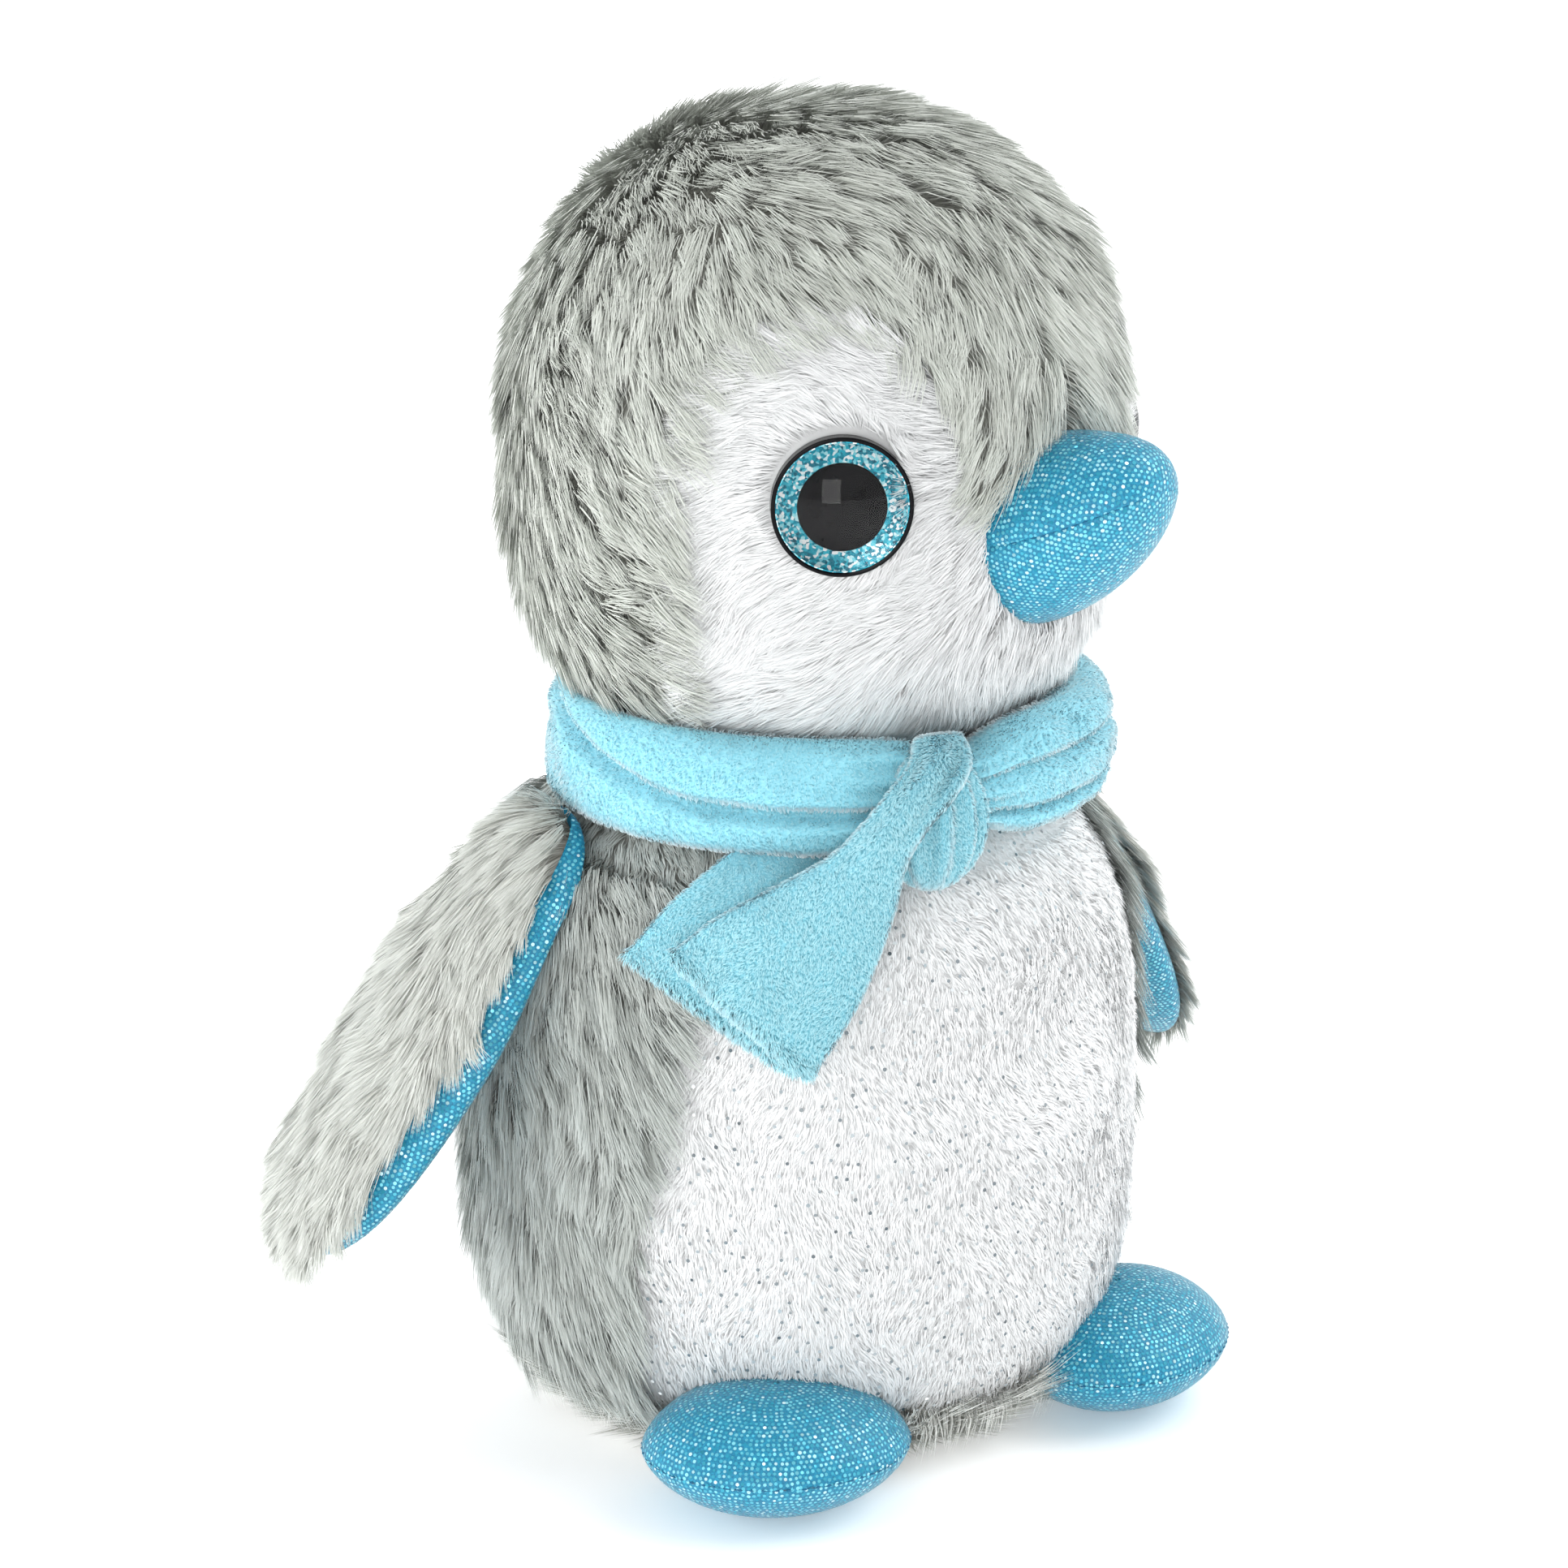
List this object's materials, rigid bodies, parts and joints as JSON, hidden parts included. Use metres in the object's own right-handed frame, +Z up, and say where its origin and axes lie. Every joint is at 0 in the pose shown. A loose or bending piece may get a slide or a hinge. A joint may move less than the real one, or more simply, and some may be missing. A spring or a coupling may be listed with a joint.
{
  "type": "plush penguin",
  "caption": "Seated plush penguin with turned head, safety eyes, padded wings and feet, and a tied scarf.",
  "frame": {"origin": "centre of the bounding box's bottom, on the surface that the toy sits on", "axes": "+Z up, -Y the way the body faces, +X the toy's left"},
  "size_m": [0.1982, 0.1366, 0.2388],
  "materials": {
    "grey_fur": "long grey faux fur, darker roots",
    "white_fur": "short white faux fur",
    "sparkle": "blue knit with foil dots",
    "scarf": "pale blue short-pile plush",
    "stuffing": "polyester fibre fill",
    "bag_cloth": "plain woven cloth",
    "pellets": "loose pellets",
    "black_plastic": "glossy",
    "glitter": "teal glitter",
    "clear_plastic": "clear, polished",
    "washer_plastic": "moulded"
  },
  "bodies": {
    "body": {"belly_panel": "white_fur", "body_panel_left": "grey_fur", "body_panel_right": "grey_fur", "base_panel": "grey_fur", "body_stuffing": "stuffing", "bean_bag_top": "bag_cloth", "bean_bag_bottom": "bag_cloth", "bean_pellets": "pellets", "scarf_band": "scarf", "scarf_knot": "scarf"},
    "head": {"crown_left": "grey_fur", "crown_right": "grey_fur", "face_left": "white_fur", "face_right": "white_fur", "head_stuffing": "stuffing", "beak_upper": "sparkle", "beak_lower": "sparkle", "beak_stuffing": "stuffing", "eye_backing_left": "black_plastic", "eye_glitter_ring_left": "glitter", "eye_pupil_left": "black_plastic", "eye_lens_left": "clear_plastic", "eye_washer_left": "washer_plastic", "eye_backing_right": "black_plastic", "eye_glitter_ring_right": "glitter", "eye_pupil_right": "black_plastic", "eye_lens_right": "clear_plastic", "eye_washer_right": "washer_plastic"},
    "wing_left": {"wing_outer_left": "grey_fur", "wing_inner_left": "sparkle", "wing_stuffing_left": "stuffing"},
    "wing_right": {"wing_outer_right": "grey_fur", "wing_inner_right": "sparkle", "wing_stuffing_right": "stuffing"},
    "foot_left": {"foot_upper_left": "sparkle", "foot_sole_left": "sparkle", "foot_stuffing_left": "stuffing"},
    "foot_right": {"foot_upper_right": "sparkle", "foot_sole_right": "sparkle", "foot_stuffing_right": "stuffing"},
    "scarf_front_tail": {"scarf_tail_front": "scarf"},
    "scarf_rear_tail": {"scarf_tail_rear": "scarf"}
  },
  "joints": [
    {"name": "head_turn", "type": "hinge", "parent": "body", "child": "head", "pos_m": [0, 0.00417, 0.129], "axis": [0, 0, 1], "range_deg": [-45, 15], "stiffness_Nm_per_rad": 0.05},
    {"name": "wing_left_flap", "type": "hinge", "parent": "body", "child": "wing_left", "pos_m": [0.0513, 0.01287, 0.1135], "axis": [0, -1, 0], "range_deg": [-6, 85], "stiffness_Nm_per_rad": 0.05},
    {"name": "wing_right_flap", "type": "hinge", "parent": "body", "child": "wing_right", "pos_m": [-0.0513, 0.01287, 0.1135], "axis": [0, 1, 0], "range_deg": [-6, 85], "stiffness_Nm_per_rad": 0.05},
    {"name": "foot_left_lift", "type": "hinge", "parent": "body", "child": "foot_left", "pos_m": [0.0361, -0.03036, 0.017], "axis": [-0.91, -0.4147, 0], "range_deg": [0, 25], "stiffness_Nm_per_rad": 0.05},
    {"name": "foot_right_lift", "type": "hinge", "parent": "body", "child": "foot_right", "pos_m": [-0.0361, -0.03036, 0.017], "axis": [-0.91, 0.4147, 0], "range_deg": [0, 25], "stiffness_Nm_per_rad": 0.05},
    {"name": "scarf_front_tail_lift", "type": "hinge", "parent": "body", "child": "scarf_front_tail", "pos_m": [-0.01723, -0.05221, 0.116], "axis": [-0.5306, 0.1521, 0.8339], "range_deg": [0, 90], "stiffness_Nm_per_rad": 0.01},
    {"name": "scarf_rear_tail_lift", "type": "hinge", "parent": "body", "child": "scarf_rear_tail", "pos_m": [-0.01723, -0.05221, 0.116], "axis": [-0.5306, 0.1521, 0.8339], "range_deg": [0, 72], "stiffness_Nm_per_rad": 0.01}
  ],
  "couplings": [
    {"joint": "scarf_rear_tail_lift", "follows": "scarf_front_tail_lift", "ratio": 0.8}
  ]
}
